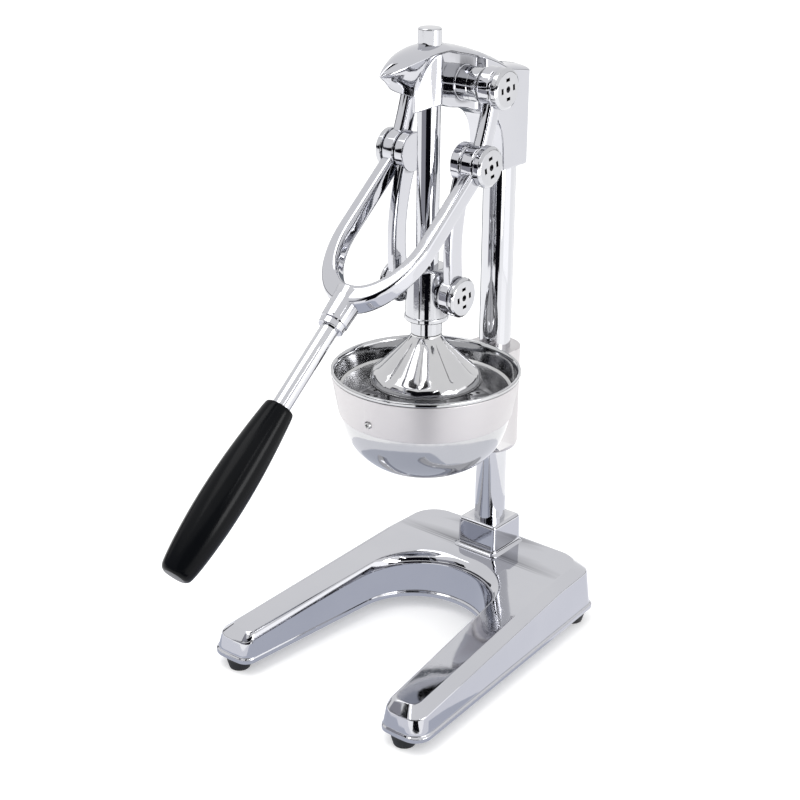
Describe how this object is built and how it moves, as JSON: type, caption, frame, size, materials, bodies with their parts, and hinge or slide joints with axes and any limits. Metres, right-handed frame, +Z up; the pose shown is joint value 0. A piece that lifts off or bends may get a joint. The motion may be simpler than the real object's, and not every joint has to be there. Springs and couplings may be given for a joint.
{
  "type": "lever citrus juice press",
  "caption": "Table-top lever citrus press with U-shaped base, column, bowl with strainer, petal press cone and forked handle that drives the plunger through two bow links.",
  "frame": {"origin": "on the floor, below the plunger axis, in the middle of the place where the glass stands", "axes": "+Z up along the plunger, -Y towards the operator and the handle, +X to the operator's right"},
  "size_m": [0.1888, 0.3515, 0.442],
  "materials": {
    "cast_chrome": "polished casting, chromed",
    "bar_chrome": "bright drawn bar, chromed",
    "turned_chrome": "turned and chromed",
    "polished_cone": "polished",
    "polished_bowl": "polished sheet",
    "satin_band": "satin",
    "strainer_steel": "brushed sheet",
    "screw_steel": "plated",
    "grip_plastic": "moulded, low gloss",
    "foot_rubber": "moulded"
  },
  "bodies": {
    "frame": {"base": "cast_chrome", "feet": "foot_rubber", "foot_screws": "screw_steel", "column": "bar_chrome", "column_bolt": "screw_steel", "column_washer": "screw_steel", "head_casting": "cast_chrome", "head_set_screws": "screw_steel", "pivot_axle": "bar_chrome", "axle_end_caps": "turned_chrome", "spacer_bushes": "turned_chrome", "thrust_washers": "screw_steel", "bowl_bracket": "satin_band", "bracket_screws": "screw_steel", "bowl_screw": "screw_steel", "bowl": "polished_bowl", "strainer": "strainer_steel"},
    "lever": {"lever_yoke": "cast_chrome", "lever_tube": "bar_chrome", "grip": "grip_plastic", "upper_pins": "turned_chrome"},
    "plunger": {"plunger_rod": "bar_chrome", "crosshead": "turned_chrome", "crosshead_screw": "screw_steel", "lower_pins": "turned_chrome", "cone_collar": "turned_chrome", "press_cone": "polished_cone"},
    "right_link": {"link_right": "cast_chrome"},
    "left_link": {"link_left": "cast_chrome"}
  },
  "joints": [
    {"name": "lever_swing", "type": "hinge", "parent": "frame", "child": "lever", "pos_m": [0, 0.026, 0.4042], "axis": [-1, 0, 0], "range_deg": [0, 95]},
    {"name": "plunger_slide", "type": "slide", "parent": "frame", "child": "plunger", "axis": [0, 0, 1], "range_m": [0, 0.0696]},
    {"name": "right_link_swing", "type": "hinge", "parent": "plunger", "child": "right_link", "pos_m": [0.0235, 0, 0.2685], "axis": [1, 0, 0], "range_deg": [0, 20]},
    {"name": "left_link_swing", "type": "hinge", "parent": "plunger", "child": "left_link", "pos_m": [-0.0235, 0, 0.2685], "axis": [1, 0, 0], "range_deg": [0, 20]}
  ],
  "couplings": [
    {"joint": "plunger_slide", "follows": "lever_swing", "m_per_rad": 0.0418},
    {"joint": "right_link_swing", "follows": "lever_swing", "ratio": 0.2075},
    {"joint": "left_link_swing", "follows": "lever_swing", "ratio": 0.2075}
  ]
}
